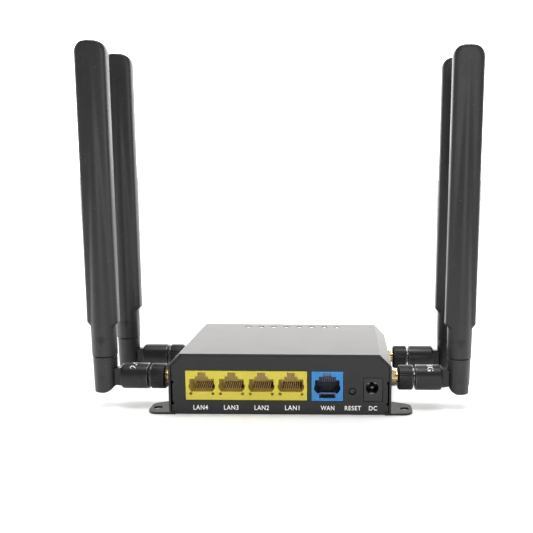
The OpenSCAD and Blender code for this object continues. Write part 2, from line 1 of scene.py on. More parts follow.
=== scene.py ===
"""A black sheet metal wireless router with four paddle antennas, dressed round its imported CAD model."""
import json
import math

import bmesh
import bpy
from mathutils import Matrix, Vector


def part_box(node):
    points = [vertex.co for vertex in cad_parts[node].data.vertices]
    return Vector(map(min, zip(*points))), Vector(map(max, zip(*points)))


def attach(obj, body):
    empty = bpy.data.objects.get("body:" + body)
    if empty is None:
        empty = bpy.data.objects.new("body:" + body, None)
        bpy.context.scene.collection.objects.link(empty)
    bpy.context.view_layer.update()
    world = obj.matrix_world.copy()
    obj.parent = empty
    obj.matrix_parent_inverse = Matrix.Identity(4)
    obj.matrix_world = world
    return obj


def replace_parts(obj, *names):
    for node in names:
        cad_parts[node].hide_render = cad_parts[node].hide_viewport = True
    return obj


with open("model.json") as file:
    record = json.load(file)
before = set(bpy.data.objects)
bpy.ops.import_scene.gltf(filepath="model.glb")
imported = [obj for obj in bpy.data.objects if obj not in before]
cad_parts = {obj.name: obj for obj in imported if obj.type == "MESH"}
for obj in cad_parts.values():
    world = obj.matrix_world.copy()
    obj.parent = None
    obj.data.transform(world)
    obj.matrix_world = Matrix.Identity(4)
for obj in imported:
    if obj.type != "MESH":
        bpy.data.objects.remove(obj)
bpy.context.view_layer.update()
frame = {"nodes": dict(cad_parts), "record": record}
nodes = frame["nodes"]
MM = 0.001


def middle(node):
    low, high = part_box(node)
    return (low + high) / 2


# Places and sizes that the pieces share, read from the CAD model.

side_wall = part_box("top_cover")[1].x
lan_low, lan_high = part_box("lan_jack_block")
washer_low, washer_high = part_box("sma_washers")
dc_pin_low, dc_pin_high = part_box("dc_center_pin")
jack_face = lan_low.y
panel_face = jack_face + 0.1 * MM
ANTENNAS = [(side, end) for end in ("front", "rear") for side in ("right", "left")]


# Shader nodes.

# nearly all of a noise texture's values lie between these two
NOISE_LOW = 0.3
NOISE_HIGH = 0.7


def noise(tree, place, scale, detail, stretch=None):
    tex = tree.nodes.new("ShaderNodeTexNoise")
    tex.inputs["Scale"].default_value = scale
    tex.inputs["Detail"].default_value = detail
    if stretch:
        mapping = tree.nodes.new("ShaderNodeMapping")
        mapping.inputs["Scale"].default_value = stretch
        tree.links.new(place, mapping.inputs["Vector"])
        place = mapping.outputs["Vector"]
    tree.links.new(place, tex.inputs["Vector"])
    return tex.outputs["Fac"]


def mapped(tree, value, start, stop, low=0.0, high=1.0, eased=False):
    """The run of value from start to stop, laid over low to high and held there at both ends."""
    ramp = tree.nodes.new("ShaderNodeMapRange")
    if eased:
        ramp.interpolation_type = "SMOOTHSTEP"
    for socket, number in (("From Min", start), ("From Max", stop), ("To Min", low), ("To Max", high)):
        ramp.inputs[socket].default_value = number
    tree.links.new(value, ramp.inputs["Value"])
    return ramp.outputs["Result"]


def tinted(tree, value, dark, light):
    """A colour that goes from dark to light with a noise."""
    ramp = tree.nodes.new("ShaderNodeValToRGB")
    for stop, place, color in zip(ramp.color_ramp.elements, (NOISE_LOW, NOISE_HIGH), (dark, light)):
        stop.position = place
        stop.color = (*color, 1)
    tree.links.new(value, ramp.inputs["Fac"])
    return ramp.outputs["Color"]


def blended(tree, factor, color, other):
    mix = tree.nodes.new("ShaderNodeMix")
    mix.data_type = "RGBA"
    color_a, color_b, color_out = mix.inputs[6], mix.inputs[7], mix.outputs[2]
    tree.links.new(factor, mix.inputs["Factor"])
    tree.links.new(color, color_a)
    color_b.default_value = (*other, 1)
    return color_out


def paint_light_and_shade_inside(tree, place, shade, inside):
    """shade at the mouth of an opening that faces -Y, and another colour painted deep inside it for the light
    and shade there.
    """
    painted_deep_tone, shallow, deep = inside
    split = tree.nodes.new("ShaderNodeSeparateXYZ")
    tree.links.new(place, split.inputs["Vector"])
    depth = mapped(tree, split.outputs["Y"], shallow, deep, eased=True)
    return blended(tree, depth, shade, painted_deep_tone)


DUST_SCALE = 1400.0
DUST_COLOR = (0.3, 0.3, 0.29)


def dusted(tree, place, shade, amount):
    """shade with pale specks where a fine noise peaks."""
    peaks = mapped(tree, noise(tree, place, DUST_SCALE, 1.0), 0.74, 0.8, 0.0, amount)
    return blended(tree, peaks, shade, DUST_COLOR)


def grained(tree, shader, value, height):
    bump = tree.nodes.new("ShaderNodeBump")
    bump.inputs["Distance"].default_value = height
    bump.inputs["Strength"].default_value = 1.0
    tree.links.new(value, bump.inputs["Height"])
    tree.links.new(bump.outputs["Normal"], shader.inputs["Normal"])


# Materials.


def finish_material(name, color, rough, vary=0.12, patch=60.0, grain=2500.0, height=0.02 * MM,
                    metallic=0.0, ior=1.5, coat=0.0, stretch=None, specks=0.0, inside=None,
                    glow=0.0, uneven=0.1):
    """A surface with patchy colour and gloss, a fine grain and, if asked, specks of pale dust.

    patch and grain are the scales of the two noises, vary and uneven how far colour and gloss stray.
    inside is the colour painted deep in an opening that faces -Y for the light and shade there, and the two
    places it fades in between.
    """
    mat = bpy.data.materials.new(name)
    mat.use_nodes = True
    tree = mat.node_tree
    tree.nodes.clear()
    out = tree.nodes.new("ShaderNodeOutputMaterial")
    shader = tree.nodes.new("ShaderNodeBsdfPrincipled")
    tree.links.new(shader.outputs["BSDF"], out.inputs["Surface"])
    place = tree.nodes.new("ShaderNodeTexCoord").outputs["Object"]
    patches = noise(tree, place, patch, 4.0, stretch)
    fine = noise(tree, place, grain, 2.0, stretch)
    dark = tuple(c * (1 - vary) for c in color)
    light = tuple(min(1, c * (1 + vary)) for c in color)
    shade = tinted(tree, patches, dark, light)
    # paint the light and shade deep inside an opening
    if inside:
        shade = paint_light_and_shade_inside(tree, place, shade, inside)
    if specks:
        shade = dusted(tree, place, shade, specks)
    gloss = mapped(tree, patches, NOISE_LOW, NOISE_HIGH, rough * (1 - uneven), rough * (1 + uneven))
    tree.links.new(shade, shader.inputs["Base Color"])
    tree.links.new(gloss, shader.inputs["Roughness"])
    grained(tree, shader, fine, height)
    shader.inputs["Metallic"].default_value = metallic
    shader.inputs["IOR"].default_value = ior
    shader.inputs["Coat Weight"].default_value = coat
    shader.inputs["Coat Roughness"].default_value = 0.2
    shader.inputs["Emission Color"].default_value = (1, 0.99, 0.97, 1)
    shader.inputs["Emission Strength"].default_value = glow
    return mat


# the grain that all the antennas' mouldings share
MOULDED = {"patch": 90, "grain": 6000}
SATIN = 0.006 * MM
SMOOTH = 0.004 * MM
POLISHED = 0.002 * MM

powder = finish_material("powder_coat", (0.0075, 0.0075, 0.008), 0.42, grain=3200, height=0.012 * MM,
                         ior=1.46, specks=0.25, uneven=0.02)
rubbery = finish_material("antenna_plastic", (0.013, 0.013, 0.014), 0.4, height=SATIN, specks=0.3, **MOULDED)
nut_plastic = finish_material("nut_plastic", (0.008, 0.008, 0.009), 0.36, height=SATIN, ior=1.38,
                              specks=0.2, **MOULDED)
base_plastic = finish_material("base_plastic", (0.01, 0.01, 0.011), 0.38, height=SATIN, ior=1.43,
                               specks=0.3, **MOULDED)
rim_plastic = finish_material("rim_plastic", (0.02, 0.02, 0.021), 0.22, height=POLISHED, ior=1.9, **MOULDED)
# deep in the LAN sockets the yellow fades to a paler, browner colour that keeps their insides bright: painted
# light
yellow = finish_material("socket_yellow", (0.68, 0.585, 0.04), 0.32, vary=0.04, height=SMOOTH,
                         inside=((0.70, 0.54, 0.17), jack_face + 0.05 * MM, jack_face + 1.3 * MM))
# deep in the WAN socket the blue fades to near black: painted shade
blue = finish_material("socket_blue", (0.018, 0.235, 0.6), 0.32, vary=0.06, height=SMOOTH,
                       inside=((0.012, 0.02, 0.05), jack_face + 0.1 * MM, jack_face + 1.2 * MM))
# a dimmer, greyer copy of the socket's blue for the ledge, rails and guard inside the WAN socket: painted
# shade
ledge_blue_painted_shade = finish_material("ledge_blue_painted_shade", (0.1, 0.13, 0.26), 0.35, vary=0.1, height=SMOOTH)
# dark brown for sheets in the LAN sockets' contact slots: painted shadow where the slots open into the jack's
# dark inside
slot_shadow = finish_material("slot_painted_shadow", (0.05, 0.025, 0.012), 0.5, vary=0.2, patch=400, height=SMOOTH)
gold = finish_material("gold_plate", (0.95, 0.77, 0.47), 0.26, vary=0.08, patch=300, metallic=1.0,
                       height=POLISHED)
contact = finish_material("contact_gold", (0.95, 0.78, 0.46), 0.4, vary=0.08, metallic=0.25,
                          height=POLISHED)
# a dark blue-grey copy of the gold contact finish for the WAN socket's wires: painted shade tinted by the
# blue socket around them
blue_shaded_contact = finish_material("contact_blue_painted_shade", (0.13, 0.16, 0.24), 0.4, vary=0.1, metallic=0.25,
                               height=POLISHED)
steel = finish_material("bright_steel", (0.62, 0.63, 0.64), 0.28, vary=0.08, metallic=1.0,
                        height=0.003 * MM)
# a metal far darker than real nickel, for the power pin and the metal cores deep in bores and gaps: painted
# shade
nickel_painted_shade = finish_material("nickel_painted_shade", (0.16, 0.16, 0.155), 0.35, vary=0.1, metallic=1.0, height=POLISHED)
aluminium = finish_material("aluminium", (0.66, 0.67, 0.69), 0.4, vary=0.08, metallic=1.0,
                            height=SMOOTH, stretch=(1, 12, 1))
jack_black = finish_material("jack_black", (0.012, 0.012, 0.0125), 0.42, height=0.008 * MM)
chip = finish_material("chip_black", (0.022, 0.022, 0.024), 0.55, height=0.01 * MM)
board = finish_material("board_green", (0.012, 0.12, 0.045), 0.35, vary=0.2, patch=220, height=0.01 * MM)
ferrite = finish_material("ferrite", (0.06, 0.06, 0.062), 0.6, height=0.015 * MM)
jacket = finish_material("cable_jacket", (0.02, 0.02, 0.02), 0.5, height=SATIN)
white = finish_material("white_insulator", (0.85, 0.85, 0.82), 0.4, vary=0.04, height=SMOOTH)
lens = finish_material("led_body", (0.8, 0.8, 0.74), 0.25, vary=0.05, height=SMOOTH)
guide = finish_material("light_guide", (0.86, 0.88, 0.9), 0.22, vary=0.03, height=SMOOTH, coat=0.5)
screw_black = finish_material("black_oxide", (0.02, 0.02, 0.02), 0.35, metallic=0.6, height=SATIN)
copper = finish_material("radiator_copper", (0.55, 0.24, 0.1), 0.4, metallic=0.7, height=SATIN)
# the white print glows a little to stay bright: painted light
ink = finish_material("white_ink_painted_glow", (0.9, 0.9, 0.89), 0.5, vary=0.03, patch=900, height=SMOOTH, glow=0.25)
floor_paint = finish_material("floor_paint", (0.9, 0.9, 0.9), 0.6, vary=0.01, patch=2, grain=400, glow=0.08)

SLOT_LOOKS = {
    "case_coat": powder, "black_screw": screw_black, "bright_steel": steel, "board_green": board,
    "socket_yellow": yellow, "socket_blue": blue, "contact_gold": contact, "black_plastic": jack_black,
    "chip_black": chip, "sink_aluminium": aluminium, "ferrite": ferrite, "led_body": lens,
    "clear_guide": guide, "cable_black": jacket, "white_insulator": white, "connector_gold": gold,
    "antenna_plastic": rubbery, "core_metal": nickel_painted_shade, "radiator_copper": copper,
}
for entry in frame["record"]["subparts"]:
    cad_mesh = nodes[entry["node"]].data
    cad_mesh.materials.clear()
    cad_mesh.materials.append(SLOT_LOOKS[entry["material_slot"]])
for side, end in ANTENNAS:
    nodes[f"{end}_{side}_nut"].data.materials[0] = nut_plastic
    nodes[f"{end}_{side}_base"].data.materials[0] = base_plastic


# Eased edges on the CAD pieces that show.

WELD_WITHIN = 0.002 * MM
FLAT_WITHIN = math.radians(0.5)
SHARP_FROM = math.radians(35)


def soften(node, width, segments=2):
    """Rounds a node's sharp edges, with its flat faces made whole first so that they stay flat."""
    obj = nodes[node]
    weld = obj.modifiers.new("weld", "WELD")
    weld.merge_threshold = WELD_WITHIN
    flat = obj.modifiers.new("whole_faces", "DECIMATE")
    flat.decimate_type = "DISSOLVE"
    flat.angle_limit = FLAT_WITHIN
    bevel = obj.modifiers.new("edges", "BEVEL")
    bevel.width = width
    bevel.segments = segments
    bevel.limit_method = "ANGLE"
    bevel.angle_limit = SHARP_FROM
    bevel.use_clamp_overlap = True
    bevel.harden_normals = True
    normals = obj.modifiers.new("flat_normals", "WEIGHTED_NORMAL")
    normals.keep_sharp = True
    normals.weight = 100


soften("top_cover", 0.25 * MM, 3)
soften("base_tray", 0.12 * MM)
soften("lan_jack_block", 0.08 * MM)
soften("wan_jack", 0.08 * MM)
soften("dc_jack", 0.1 * MM)
soften("reset_button", 0.15 * MM)
soften("sma_lock_nuts", 0.2 * MM)
for side, end in ANTENNAS:
    soften(f"{end}_{side}_knuckle", 0.25 * MM, 3)
    soften(f"{end}_{side}_base", 0.2 * MM, 3)
    soften(f"{end}_{side}_nut", 0.06 * MM)


# Mesh building. A shape is a list of vertices and a list of faces.


def new_piece(name, shape, material, body, smooth=40):
    """A piece that rides on a body. Faces that meet within smooth degrees are shaded as one surface."""
    verts, faces = shape
    data = bpy.data.meshes.new(name)
    data.from_pydata([tuple(v) for v in verts], [], faces)
    bm = bmesh.new()
    bm.from_mesh(data)
    bmesh.ops.recalc_face_normals(bm, faces=bm.faces)
    bm.to_mesh(data)
    bm.free()
    data.materials.append(material)
    obj = bpy.data.objects.new(name, data)
    bpy.context.scene.collection.objects.link(obj)
    if smooth:
        data.shade_smooth()
        data.set_sharp_from_angle(angle=math.radians(smooth))
    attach(obj, body)
    return obj


def loft(rings, closed=False):
    """The surface through rings of equal length, capped at both ends or closed into a hoop."""
    count = len(rings[0])
    verts = [p for ring in rings for p in ring]
    faces = []
    for i in range(len(rings) if closed else len(rings) - 1):
        here, there = i * count, (i + 1) % len(rings) * count
        for j in range(count):
            k = (j + 1) % count
            faces.append((here + j, here + k, there + k, there + j))
    if not closed:
        faces.append(tuple(range(count - 1, -1, -1)))
        faces.append(tuple(range(len(verts) - count, len(verts))))
    return verts, faces


def joined(shapes):
    verts, faces = [], []
    for v, f in shapes:
        start = len(verts)
        verts += v
        faces += [tuple(i + start for i in face) for face in f]
    return verts, faces


def turned(count):
    """The cosine and sine of even steps round a full turn."""
    return [(math.cos(2 * math.pi * i / count), math.sin(2 * math.pi * i / count)) for i in range(count)]


def arc(cx, cy, r, start, stop, steps):
    """Points on an arc between two angles in degrees."""
    angles = [math.radians(start + (stop - start) * i / steps) for i in range(steps + 1)]
    return [(cx + r * math.cos(a), cy + r * math.sin(a)) for a in angles]


def smooth_step(x, low, high):
    t = min(1, max(0, (x - low) / (high - low)))
    return t * t * (3 - 2 * t)


def ribbon(points, width, thick, place, closed=False):
    """A raised line of even width through flat points, laid on a surface by place(u, v, height)."""
    count = len(points)
    rings = []
    for i, (u, v) in enumerate(points):
        before = points[i - 1] if closed or i > 0 else points[i]
        after = points[(i + 1) % count] if closed or i < count - 1 else points[i]
        a = Vector((u - before[0], v - before[1]))
        b = Vector((after[0] - u, after[1] - v))
        if a.length == 0:
            a = b
        if b.length == 0:
            b = a
        a.normalize()
        b.normalize()
        na, nb = Vector((-a.y, a.x)), Vector((-b.y, b.x))
        n = (na + nb).normalized()
        reach = width / 2 / max(0.5, n.dot(na))
        left, right = (u + n.x * reach, v + n.y * reach), (u - n.x * reach, v - n.y * reach)
        rings.append([place(*left, 0), place(*left, thick), place(*right, thick), place(*right, 0)])
    return loft(rings, closed)


def dome(radius, rise, place, steps=4, count=24):
    """A shallow dome laid on a surface by place(u, v, height), closed a little under the surface."""
    levels = [(radius, -0.1 * MM)]
    for k in range(steps + 1):
        a = math.pi / 2 * k / (steps + 1)
        levels.append((radius * math.cos(a), rise * math.sin(a)))
    return loft([[place(r * c, r * s, h) for c, s in turned(count)] for r, h in levels])


# how much bolder and wider apart than the plain font the letters are
LETTER_SWELL = 0.006
LETTER_SPACE = 1.12


def text_shape(text, width, height, thick):
    """A word as a solid with its middle at the origin, fitted to a width and a height."""
    curve = bpy.data.curves.new("word", "FONT")
    curve.body = text
    curve.size = height
    curve.offset = LETTER_SWELL * height
    curve.space_character = LETTER_SPACE
    curve.resolution_u = 4
    curve.extrude = thick / 2
    obj = bpy.data.objects.new("word", curve)
    data = bpy.data.meshes.new_from_object(obj)
    bpy.data.objects.remove(obj)
    bm = bmesh.new()
    bm.from_mesh(data)
    bmesh.ops.remove_doubles(bm, verts=bm.verts, dist=1e-7)
    bmesh.ops.triangulate(bm, faces=[f for f in bm.faces if len(f.verts) > 4])
    verts = [v.co.copy() for v in bm.verts]
    faces = [tuple(v.index for v in f.verts) for f in bm.faces]
    bm.free()
    low = [min(v[k] for v in verts) for k in range(3)]
    high = [max(v[k] for v in verts) for k in range(3)]
    for v in verts:
        v.x = ((v.x - low[0]) / (high[0] - low[0]) - 0.5) * width
        v.y = ((v.y - low[1]) / (high[1] - low[1]) - 0.5) * height
        v.z = (v.z - low[2]) / (high[2] - low[2]) * thick
    return verts, faces


# Antenna arms, in millimetres above the elbow pin.

SHOULDER = 25.0       # the sleeve widens into the paddle from about here up
WIDEN_FROM = SHOULDER - 0.3
WIDEN_TO = SHOULDER + 2.7
PADDLE_THICK = 7.0
CORNER_R = 5.5        # the paddle's top corners
TOP_EDGE_R = 1.5
FIN_START = 0.7       # how far inside the sleeve the paddle's sides begin
SLEEVE_TAPER = 0.0129 # the sleeve narrows this much for each millimetre down
RIB_FOOT = SHOULDER + 2
RIB_LENGTH = 122      # the round middle of the paddle sinks into its flat faces over this length
RIB_TOP_R = 3.3
LIP = 0.25            # the sleeve's lower edge is turned in this far
CROWDING = 0.16       # how far the points of a ring draw together at the paddle's edges
MOUTH_R = 3.82
MOUTH_DEEP = 5.2
FLAT_POWER = 5        # how square a section through the flat part is
JOIN_POWER = 14       # how sharply the round part and the flat part meet
RING_POINTS = 96
INSET = 0.02          # keeps the skin just inside the CAD box


def ring_heights(bottom, top):
    heights = [bottom, bottom + 0.25, bottom + 1, 15, 20, SHOULDER - 0.6]
    heights += [SHOULDER + 0.25 * i for i in range(13)]
    heights += [30, 33, 38, 44, 52, *range(60, 141, 10), 147, 151]
    return heights + [top - CORNER_R + CORNER_R * math.sin(math.radians(a)) for a in range(0, 91, 5)]


def paddle_rings(bottom, top, half_wide, tube_r):
    """Rings from the sleeve's hollow mouth, round its lower end and up to the top of the paddle."""
    rings = [[(MOUTH_R * c, MOUTH_R * s, z) for c, s in turned(RING_POINTS)]
             for z in (bottom + MOUTH_DEEP, bottom)]
    for z in ring_heights(bottom, top):
        tube = tube_r - SLEEVE_TAPER * max(0, RIB_FOOT - z)
        if z > RIB_FOOT:
            tube -= (tube_r - RIB_TOP_R) * (z - RIB_FOOT) / RIB_LENGTH
        start = tube_r - FIN_START
        fin = start + (half_wide - start) * smooth_step(z, WIDEN_FROM, WIDEN_TO)
        thick = PADDLE_THICK / 2
        if z > top - CORNER_R:
            fin = half_wide - CORNER_R + math.sqrt(max(0, CORNER_R ** 2 - (z - top + CORNER_R) ** 2))
        if z > top - TOP_EDGE_R:
            thick += math.sqrt(max(0, TOP_EDGE_R ** 2 - (z - top + TOP_EDGE_R) ** 2)) - TOP_EDGE_R
            tube = min(tube, thick)
        if z < bottom + 0.2:
            tube -= LIP
        ring = []
        for i in range(RING_POINTS):
            t = 2 * math.pi * i / RING_POINTS
            if z > SHOULDER:
                # more points where the flat sides turn into the narrow edges
                t -= CROWDING * math.sin(4 * t)
            c, s = abs(math.cos(t)), abs(math.sin(t))
            flat = ((c / fin) ** FLAT_POWER + (s / thick) ** FLAT_POWER) ** (-1 / FLAT_POWER)
            both = (flat ** JOIN_POWER + tube ** JOIN_POWER) ** (1 / JOIN_POWER)
            x = min(max(fin, tube_r), both * c)
            ring.append((math.copysign(x, math.cos(t)), both * math.sin(t), z))
        rings.append(ring)
    return rings


def on_arm(pin, radius, up_mm):
    """Lays flat marks round the front of an upright arm: u goes round it, v up and h out."""
    def place(u, v, h):
        turn = u / radius
        return pin + Vector((math.sin(turn) * (radius + h), -math.cos(turn) * (radius + h), up_mm * MM + v))
    return place


WAVES_UP = 18.3
WAVE_RADII = (1.4, 2.5, 3.6)
WAVE_WIDTH = 0.34 * MM
WAVE_RISE = 0.26 * MM
DOT_DOWN = 1.3
DOT_R = 0.42 * MM
DOT_RISE = 0.22 * MM
PIN_CAP_R = 0.9 * MM
PIN_CAP_RISE = 0.2 * MM
PIN_RING_R = 1.5 * MM
PIN_RING_WIDTH = 0.3 * MM


def paddle_skin(name, body, pin, box):
    """The sleeve and paddle in one skin, in place of the CAD paddle."""
    low, high = box
    rings = paddle_rings((low.z - pin.z) / MM, (high.z - pin.z) / MM - INSET,
                         (high.x - low.x) / 2 / MM - INSET, (high.y - low.y) / 2 / MM)
    verts, faces = loft(rings)
    skin = new_piece(name + "_skin", ([pin + Vector(v) * MM for v in verts], faces), rubbery, body)
    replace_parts(skin, name)


def wave_marks(name, body, pin, radius):
    """Three raised arcs over a dot, on the front of the sleeve."""
    place = on_arm(pin, radius, WAVES_UP)
    marks = [ribbon(arc(0, -1.6 * MM, r * MM, 45, 135, 14), WAVE_WIDTH, WAVE_RISE, place)
             for r in WAVE_RADII]
    marks.append(dome(DOT_R, DOT_RISE, on_arm(pin, radius, WAVES_UP - DOT_DOWN), 2, 16))
    new_piece(name, joined(marks), nut_plastic, body)


def pin_cap(name, body, pin, radius):
    """The domed end of the elbow pin in a raised ring, on the front of the knuckle."""
    place = on_arm(pin, radius, 0.0)
    cap = [ribbon(arc(0, 0, PIN_RING_R, 0, 345, 23), PIN_RING_WIDTH, PIN_CAP_RISE, place, closed=True),
           dome(PIN_CAP_R, PIN_CAP_RISE, place)]
    new_piece(name, joined(cap), rubbery, body)


for side, end in ANTENNAS:
    antenna = f"{end}_{side}"
    arm = antenna + "_arm"
    pin_middle = middle(antenna + "_pin")
    low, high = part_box(antenna + "_paddle")
    knuckle_low, knuckle_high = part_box(antenna + "_knuckle")
    paddle_skin(antenna + "_paddle", arm, pin_middle, (low, high))
    wave_marks(antenna + "_waves", arm, pin_middle, (high.y - low.y) / 2 - 0.13 * MM)
    pin_cap(antenna + "_pin_cap", arm, pin_middle, (knuckle_high.y - knuckle_low.y) / 2 - 0.2 * MM)


# Antenna connectors, in millimetres out from the side wall.

WASHER_R = 4.4
JACK_INNER = -5.4
FLANGE_BACK = -2.6
FLANGE_FRONT = -1.0
THREAD_START = 0.7
JACK_OUTER = 8.3
TAIL_R = 2.25
FLANGE_R = 4.2
THREAD_R = 3.175
THREAD_DEPTH = 0.4
THREAD_PITCH = 0.706
GROOVES = 10
BORE_END = 2.0
BORE_R = 2.3
STEP_R = 0.7
STEP_END = -2.0
PIN_HOLE_R = 0.57


def lathe(profile, at, sign, count=64):
    """A closed outline of (distance, radius) points turned round a connector's axis."""
    return loft([[at + Vector((sign * x, r * c, r * s)) * MM for c, s in turned(count)] for x, r in profile],
                closed=True)


def wall_point(side, end):
    """Where a connector's axis meets the side wall."""
    half_gap = (washer_high.y - washer_low.y) / 2 - WASHER_R * MM
    y = (washer_high.y + washer_low.y) / 2 + (half_gap if end == "rear" else -half_gap)
    return Vector((side_wall if side == "right" else -side_wall, y, (washer_low.z + washer_high.z) / 2))


def jack_profile():
    """The tail and flange inside the wall, the ring-grooved thread outside it, and the stepped bore."""
    root = THREAD_R - THREAD_DEPTH
    profile = [(JACK_INNER, TAIL_R), (FLANGE_BACK, TAIL_R), (FLANGE_BACK, FLANGE_R), (FLANGE_FRONT, FLANGE_R),
               (FLANGE_FRONT, THREAD_R), (THREAD_START - 0.1, THREAD_R)]
    for i in range(GROOVES):
        # a flat crest, a slope down and a flat root
        x = THREAD_START + THREAD_PITCH * i
        profile += [(x, THREAD_R), (x + 0.12, THREAD_R), (x + 0.4, root), (x + 0.48, root)]
    return profile + [(JACK_OUTER - 0.2, THREAD_R - 0.15), (JACK_OUTER, root), (JACK_OUTER, BORE_R),
                      (BORE_END, BORE_R), (BORE_END, STEP_R), (STEP_END, STEP_R), (STEP_END, PIN_HOLE_R),
                      (JACK_INNER + 0.4, PIN_HOLE_R), (JACK_INNER, PIN_HOLE_R)]


jacks = [lathe(jack_profile(), wall_point(side, end), 1 if side == "right" else -1) for side, end in ANTENNAS]
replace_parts(new_piece("threaded_jacks", joined(jacks), gold, "case", 30), "sma_jacks")

BEAD_R = 0.33
BAND_MARK = "2.4G"
MARK_LENGTH = 9.0 * MM
MARK_HEIGHT = 3.0 * MM
MARK_ALONG = 7.3 * MM
MARK_SINK = 0.01 * MM
MARK_TURN = {"left": math.radians(49), "right": math.radians(44)}


def polished_bead(node, body, centre, radius, at, sign):
    """A shiny rounded rim round one end of a base or nut."""
    profile = [(centre + BEAD_R * math.cos(math.radians(a)), radius + BEAD_R * math.sin(math.radians(a)))
               for a in range(0, 360, 30)]
    new_piece(node + "_bead", lathe(profile, at, sign), rim_plastic, body)


def band_mark(side, at, sign, start, radius):
    """The antenna's band, printed round the top of its swivel base."""
    verts, faces = text_shape(BAND_MARK, MARK_LENGTH, MARK_HEIGHT, 0.04 * MM)
    wrapped = []
    for v in verts:
        turn = MARK_TURN[side] + (MARK_LENGTH / 2 - sign * v.x) / radius
        reach = radius + v.z - MARK_SINK
        wrapped.append(Vector((sign * (start + MARK_ALONG) + sign * v.y, at.y - math.cos(turn) * reach,
                               at.z + math.sin(turn) * reach)))
    new_piece(f"front_{side}_band_mark", (wrapped, faces), ink, f"front_{side}_swivel", 0)


for side, end in ANTENNAS:
    sign = 1 if side == "right" else -1
    antenna = f"{end}_{side}"
    at = wall_point(side, end)
    base_low, base_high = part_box(antenna + "_base")
    base_start = min(abs(base_low.x), abs(base_high.x))
    base_r = (base_high.z - base_low.z) / 2
    nut_low, nut_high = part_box(antenna + "_nut")
    nut_end = max(abs(nut_low.x), abs(nut_high.x))
    nut_r = (nut_high.z - nut_low.z) / 2
    polished_bead(antenna + "_base", antenna + "_swivel", (base_start - side_wall) / MM + 0.36,
                  base_r / MM - BEAD_R, at, sign)
    polished_bead(antenna + "_nut", antenna + "_nut", (nut_end - side_wall) / MM - 0.5, nut_r / MM - 0.46,
                  at, sign)
    if end == "front":
        band_mark(side, at, sign, base_start, base_r)


# Network sockets, in millimetres: across from a socket's middle, in from its face, and up.

LAN_PITCH = 14.2
WIRES = 8
WIRE_PITCH = 1.02
LAN_WIRE = ((4.2, 11.3), (4.8, 11.35), (5.6, 11.55), (8.4, 12.25), (9.3, 12.5), (9.9, 12.6), (11.9, 12.65))
WAN_WIRE = ((1.0, 18.6), (1.2, 18.45), (1.5, 18.0), (2.8, 15.9), (3.1, 15.65), (3.6, 15.55), (9.0, 15.55))
# dark sheets laid on the floor and back wall of each LAN socket: painted shadow
LAN_FLOOR_SHADOW = ((-4.6, 6.4, 11.08), (4.6, 11.98, 11.14))
LAN_BACK_SHADOW = ((-4.6, 11.8, 11.1), (4.6, 11.99, 12.85))
LATCH_LEDGE = ((-3.85, 1.0, 9.9), (3.85, 1.8, 10.7))
LEFT_RAIL = ((-3.85, 2.0, 8.25), (-3.3, 8, 10.4))
RIGHT_RAIL = ((3.3, 2.0, 8.25), (3.85, 8, 10.4))
WIRE_GUARD = ((-1.88, 0.9, 18.85), (1.88, 1.6, 20.35))

face = jack_face / MM
lan_middle = (lan_low.x + lan_high.x) / 2 / MM
lan_x = [lan_middle + (i - 1.5) * LAN_PITCH for i in range(4)]
wan_x = middle("wan_jack").x / MM


def brick(x, corners, ease):
    """A box between two corners in a socket whose middle is at x, with its long edges eased."""
    (x0, y0, z0), (x1, y1, z1) = corners
    x0, x1, y0, y1 = x0 + x, x1 + x, y0 + face, y1 + face
    e = min(ease, (x1 - x0) / 4, (z1 - z0) / 4)
    outer = [(x0 + e, z0), (x1 - e, z0), (x1, z0 + e), (x1, z1 - e), (x1 - e, z1), (x0 + e, z1), (x0, z1 - e),
             (x0, z0 + e)]
    inner = [(min(max(a, x0 + e), x1 - e), min(max(b, z0 + e), z1 - e)) for a, b in outer]
    front = [((a + c) / 2, (b + d) / 2) for (a, b), (c, d) in zip(outer, inner)]
    return loft([[Vector((a, y, b)) * MM for a, b in loop]
                 for y, loop in ((y0, front), (y0 + e, outer), (y1, outer))])


def bent_wire(x, points, half):
    """A flat spring wire through (in, up) points, half as thick as it is wide."""
    section = ((1, 0.5), (0.5, 1), (-0.5, 1), (-1, 0.5), (-1, -0.5), (-0.5, -1), (0.5, -1), (1, -0.5))
    rings = []
    for n, (deep, up) in enumerate(points):
        before, after = points[max(0, n - 1)], points[min(len(points) - 1, n + 1)]
        run = Vector((0, after[0] - before[0], after[1] - before[1])).normalized()
        thick = Vector((0, -run.z, run.y)) * half / 2
        wide = Vector((half, 0, 0))
        rings.append([(Vector((x, face + deep, up)) + wide * a + thick * b) * MM for a, b in section])
    return loft(rings)


def comb(x, points, half):
    """A row of wires side by side in the socket whose middle is at x."""
    return [bent_wire(x + (k - (WIRES - 1) / 2) * WIRE_PITCH, points, half) for k in range(WIRES)]


# painted shadow in the LAN sockets' contact slots
slot_shadows = [brick(x, corners, 0.02) for x in lan_x for corners in (LAN_FLOOR_SHADOW, LAN_BACK_SHADOW)]
new_piece("lan_slot_painted_shadows", joined(slot_shadows), slot_shadow, "case", 30)
lan_wires = [wire for x in lan_x for wire in comb(x, LAN_WIRE, 0.24)]
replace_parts(new_piece("lan_contact_wires", joined(lan_wires), contact, "case"),
            "lan_contacts")
# the latch ledge, rails and wire guard take the darker blue: painted shade
ledges = [brick(wan_x, corners, 0.06) for corners in (LATCH_LEDGE, LEFT_RAIL, RIGHT_RAIL, WIRE_GUARD)]
new_piece("wan_latch_ledge", joined(ledges), ledge_blue_painted_shade, "case", 30)
# the WAN wires take the blue-grey copy of the contact finish: painted shade
wan_wires = comb(wan_x, WAN_WIRE, 0.2)
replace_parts(new_piece("wan_contact_wires", joined(wan_wires), blue_shaded_contact, "case"),
            "wan_contacts")


# Power jack: the pin with a rounded tip, and the spring sheets in the bore, in millimetres.

